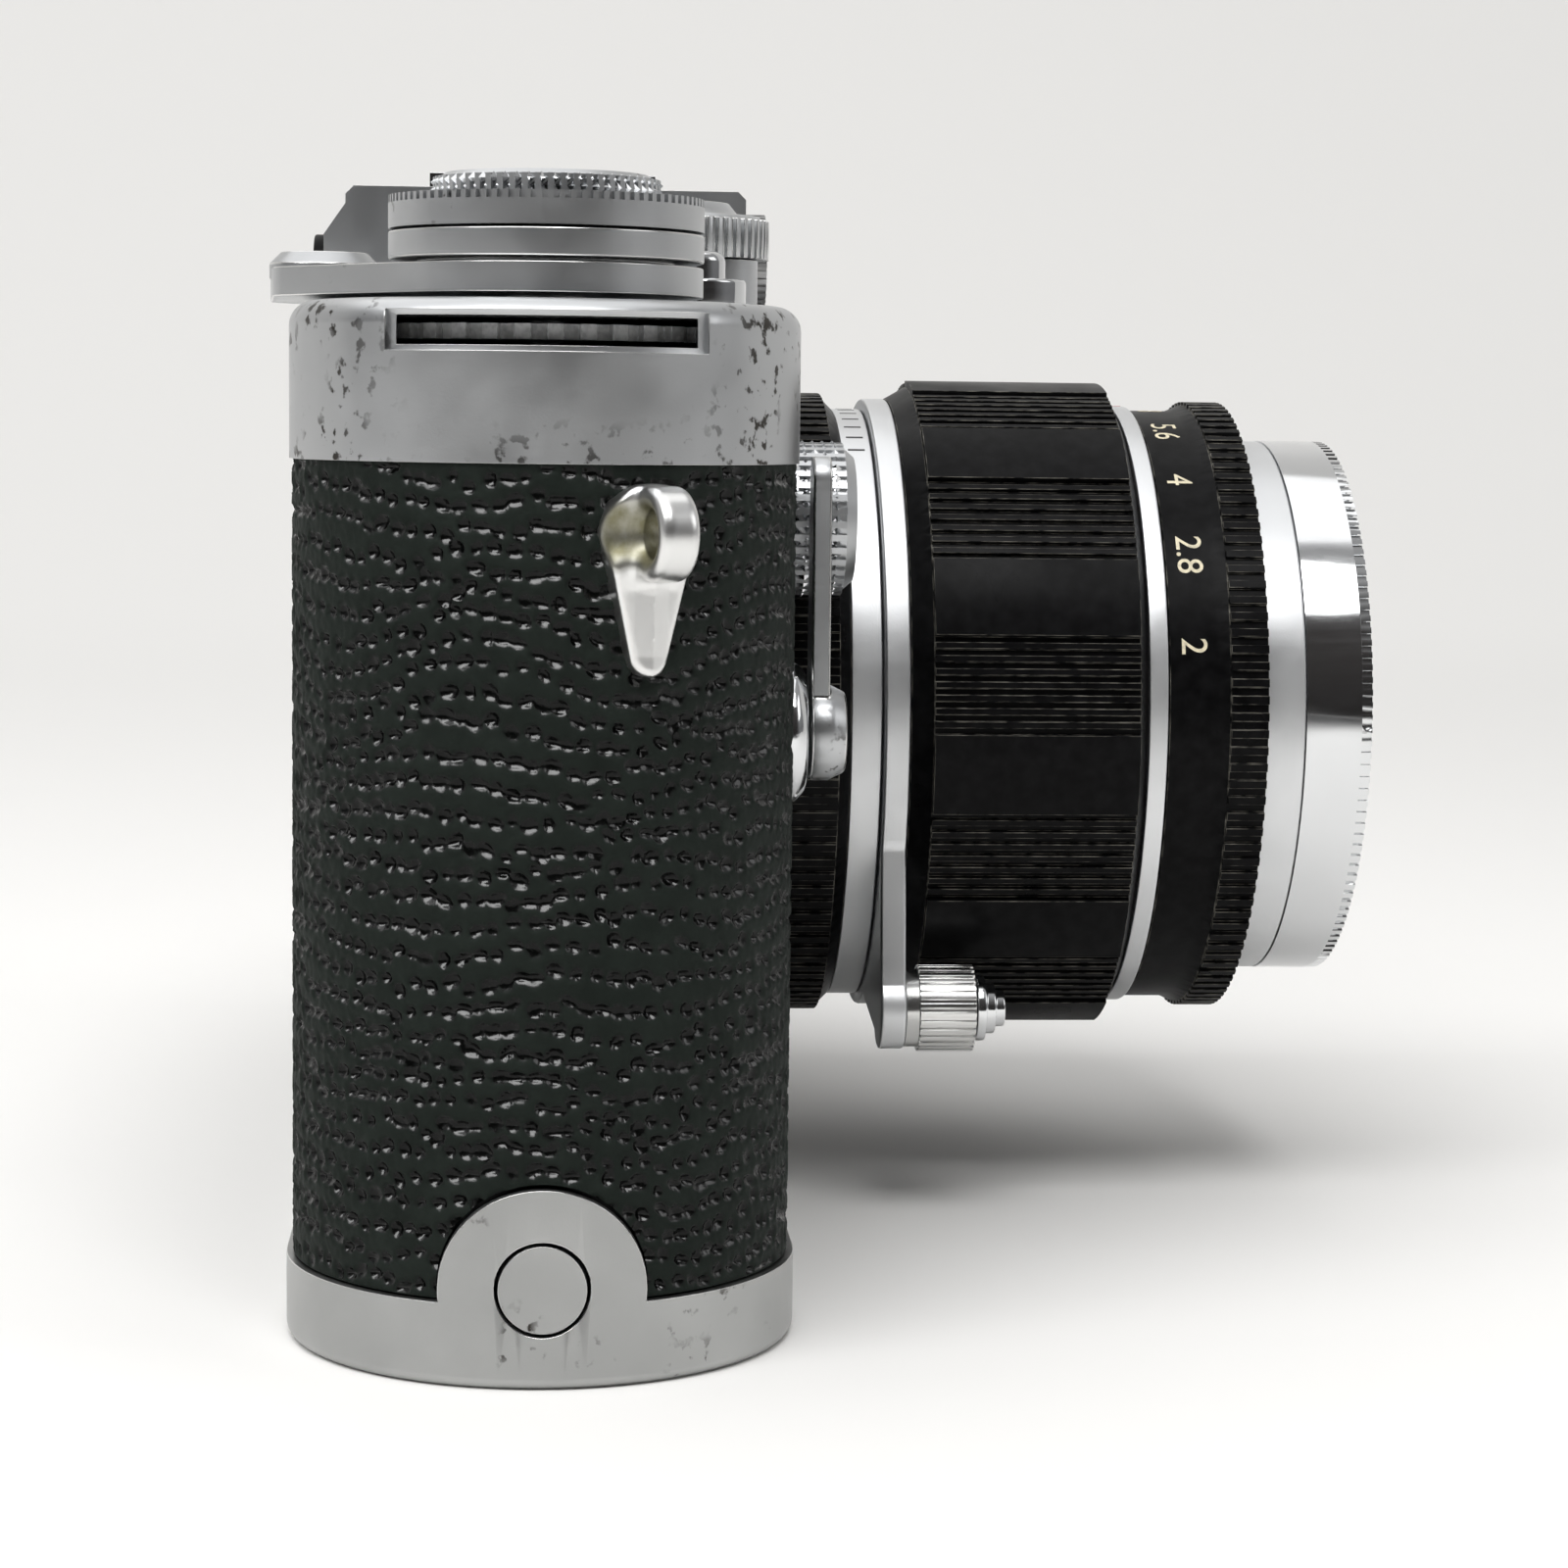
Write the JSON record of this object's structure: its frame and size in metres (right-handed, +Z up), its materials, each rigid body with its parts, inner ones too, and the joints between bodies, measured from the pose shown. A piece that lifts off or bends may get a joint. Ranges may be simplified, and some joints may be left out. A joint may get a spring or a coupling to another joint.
{
  "type": "rangefinder camera",
  "caption": "Bottom-loading film rangefinder camera with a wind lever, knurled dials, strap lugs and a black and chrome screw-in lens with focus and aperture rings.",
  "frame": {"origin": "on the base plate's lower face, under the lens axis, mid-depth of the body", "axes": "+X along the body towards the rewind end, -Y out of the lens, +Z up"},
  "size_m": [0.1472, 0.0814, 0.0786],
  "materials": {
    "satin_chrome": "satin, worn and pitted",
    "bright_chrome": "polished",
    "cast_body": "matt black",
    "leather": "coarse grain",
    "black_paint": "black, worn bright at the edges",
    "shutter_cloth": "rubberised cloth",
    "steel": "plain",
    "brass": "plain",
    "glass": "coated"
  },
  "bodies": {
    "camera_body": {"body_shell": "cast_body", "leather_cover": "leather", "top_cover": "satin_chrome", "body_screws": "steel", "strap_lugs": "bright_chrome", "base_stud": "satin_chrome", "mount_ring": "bright_chrome", "shutter_crate": "cast_body", "shutter_curtains": "shutter_cloth", "spring_rollers": "steel", "pressure_plate": "black_paint", "timer_escutcheon": "bright_chrome", "release_collar": "bright_chrome", "rangefinder_bezels": "steel", "finder_frame": "bright_chrome", "eyepiece_rims": "black_paint", "finder_glass": "glass", "rangefinder_base": "brass", "rangefinder_optics": "glass", "accessory_shoe": "bright_chrome", "lens_base": "black_paint", "scale_ring": "satin_chrome"},
    "base": {"base_plate": "satin_chrome", "tripod_bush": "brass"},
    "key": {"lock_key": "satin_chrome"},
    "advance": {"advance_lever": "satin_chrome", "advance_shaft": "steel", "lever_cap": "satin_chrome", "reminder_knob": "bright_chrome"},
    "reminder": {"reminder_dial": "satin_chrome"},
    "take_up": {"take_up_spool": "black_paint"},
    "film_sprocket": {"sprocket": "steel"},
    "drum": {"curtain_drum": "steel"},
    "counter": {"counter_wheel": "black_paint"},
    "release": {"release_button": "bright_chrome"},
    "speed": {"speed_dial": "satin_chrome"},
    "slow": {"slow_dial": "satin_chrome"},
    "catch": {"rewind_catch": "satin_chrome"},
    "timer": {"timer_lever": "bright_chrome"},
    "rewind": {"rewind_knob": "satin_chrome", "rewind_shaft": "steel"},
    "focus": {"focus_ring": "black_paint", "lock_arm": "bright_chrome", "lock_knob": "bright_chrome"},
    "plunger": {"lock_plunger": "bright_chrome"},
    "optics": {"lens_barrel": "black_paint", "index_ring": "satin_chrome", "front_ring": "satin_chrome", "filter_ring": "bright_chrome", "filter_glass": "glass", "front_element": "glass", "rear_element": "glass"},
    "aperture": {"aperture_ring": "black_paint"},
    "arm": {"roller_arm": "brass"},
    "iris_1": {"iris_blade_1": "steel"},
    "iris_2": {"iris_blade_2": "steel"},
    "iris_3": {"iris_blade_3": "steel"},
    "iris_4": {"iris_blade_4": "steel"},
    "iris_5": {"iris_blade_5": "steel"},
    "iris_6": {"iris_blade_6": "steel"}
  },
  "joints": [
    {"name": "base_swing", "type": "hinge", "parent": "camera_body", "child": "base", "pos_m": [-0.0684, 0, 0.0125], "axis": [0, 1, 0], "range_deg": [0, 10]},
    {"name": "key_turn", "type": "hinge", "parent": "base", "child": "key", "pos_m": [0.043, 0, 0.001], "axis": [0, 0, 1], "range_deg": [0, 180]},
    {"name": "advance_swing", "type": "hinge", "parent": "camera_body", "child": "advance", "pos_m": [-0.05257, 0, 0.068], "axis": [0, 0, 1], "range_deg": [0, 150]},
    {"name": "reminder_turn", "type": "hinge", "parent": "advance", "child": "reminder", "pos_m": [-0.05257, 0, 0.072], "axis": [0, 0, 1], "continuous": true},
    {"name": "take_up_turn", "type": "hinge", "parent": "camera_body", "child": "take_up", "pos_m": [-0.05257, 0, 0.037], "axis": [0, 0, 1], "range_deg": [0, 300]},
    {"name": "sprocket_turn", "type": "hinge", "parent": "camera_body", "child": "film_sprocket", "pos_m": [-0.0375, 0.0055, 0.037], "axis": [0, 0, 1], "range_deg": [0, 360]},
    {"name": "drum_turn", "type": "hinge", "parent": "camera_body", "child": "drum", "pos_m": [-0.0245, 0.0032, 0.037], "axis": [0, 0, 1], "range_deg": [0, 300]},
    {"name": "counter_turn", "type": "hinge", "parent": "camera_body", "child": "counter", "pos_m": [-0.05257, 0, 0.065], "axis": [0, 0, 1], "continuous": true},
    {"name": "release_press", "type": "slide", "parent": "camera_body", "child": "release", "axis": [0, 0, -1], "range_m": [0, 0.0015], "stiffness_N_per_m": 600, "springref_m": -0.001},
    {"name": "speed_turn", "type": "hinge", "parent": "camera_body", "child": "speed", "pos_m": [-0.0275, -0.008, 0.072], "axis": [0, 0, 1], "range_deg": [-160, 160]},
    {"name": "slow_turn", "type": "hinge", "parent": "camera_body", "child": "slow", "pos_m": [-0.027, -0.02, 0.0527], "axis": [0, -1, 0], "range_deg": [0, 200]},
    {"name": "catch_turn", "type": "hinge", "parent": "camera_body", "child": "catch", "pos_m": [-0.0386, 0.0035, 0.068], "axis": [0, 0, 1], "range_deg": [0, 45]},
    {"name": "timer_swing", "type": "hinge", "parent": "camera_body", "child": "timer", "pos_m": [-0.0355, -0.019, 0.038], "axis": [0, -1, 0], "range_deg": [0, 180]},
    {"name": "rewind_turn", "type": "hinge", "parent": "camera_body", "child": "rewind", "pos_m": [0.05257, 0, 0.07], "axis": [0, 0, 1], "continuous": true},
    {"name": "focus_turn", "type": "hinge", "parent": "camera_body", "child": "focus", "pos_m": [0, -0.03, 0.03733], "axis": [0, -1, 0], "range_deg": [0, 160]},
    {"name": "helicoid_slide", "type": "slide", "parent": "camera_body", "child": "optics", "axis": [0, -1, 0], "range_m": [0, 0.0027]},
    {"name": "arm_swing", "type": "hinge", "parent": "camera_body", "child": "arm", "pos_m": [0.017, -0.0113, 0.05], "axis": [0, 0, 1], "range_deg": [0, 9.2]},
    {"name": "lock_press", "type": "slide", "parent": "focus", "child": "plunger", "axis": [0, 1, 0], "range_m": [0, 0.0013], "stiffness_N_per_m": 400, "springref_m": -0.001},
    {"name": "aperture_turn", "type": "hinge", "parent": "optics", "child": "aperture", "pos_m": [0, -0.05, 0.03733], "axis": [0, -1, 0], "range_deg": [-72, 36]},
    {"name": "iris_turn_1", "type": "hinge", "parent": "optics", "child": "iris_1", "pos_m": [0.0166, -0.042, 0.03733], "axis": [0, -1, 0], "range_deg": [-23.6, 11.8]},
    {"name": "iris_turn_2", "type": "hinge", "parent": "optics", "child": "iris_2", "pos_m": [0.0083, -0.042, 0.05171], "axis": [0, -1, 0], "range_deg": [-23.6, 11.8]},
    {"name": "iris_turn_3", "type": "hinge", "parent": "optics", "child": "iris_3", "pos_m": [-0.0083, -0.042, 0.05171], "axis": [0, -1, 0], "range_deg": [-23.6, 11.8]},
    {"name": "iris_turn_4", "type": "hinge", "parent": "optics", "child": "iris_4", "pos_m": [-0.0166, -0.042, 0.03733], "axis": [0, -1, 0], "range_deg": [-23.6, 11.8]},
    {"name": "iris_turn_5", "type": "hinge", "parent": "optics", "child": "iris_5", "pos_m": [-0.0083, -0.042, 0.02295], "axis": [0, -1, 0], "range_deg": [-23.6, 11.8]},
    {"name": "iris_turn_6", "type": "hinge", "parent": "optics", "child": "iris_6", "pos_m": [0.0083, -0.042, 0.02295], "axis": [0, -1, 0], "range_deg": [-23.6, 11.8]}
  ],
  "couplings": [
    {"joint": "take_up_turn", "follows": "advance_swing", "ratio": 2},
    {"joint": "sprocket_turn", "follows": "advance_swing", "ratio": 2.4},
    {"joint": "drum_turn", "follows": "advance_swing", "ratio": 2},
    {"joint": "focus_turn", "follows": "helicoid_slide", "rad_per_m": 1034},
    {"joint": "arm_swing", "follows": "helicoid_slide", "rad_per_m": 59},
    {"joint": "iris_turn_1", "follows": "aperture_turn", "ratio": 0.326},
    {"joint": "iris_turn_2", "follows": "aperture_turn", "ratio": 0.326},
    {"joint": "iris_turn_3", "follows": "aperture_turn", "ratio": 0.326},
    {"joint": "iris_turn_4", "follows": "aperture_turn", "ratio": 0.326},
    {"joint": "iris_turn_5", "follows": "aperture_turn", "ratio": 0.326},
    {"joint": "iris_turn_6", "follows": "aperture_turn", "ratio": 0.326}
  ]
}
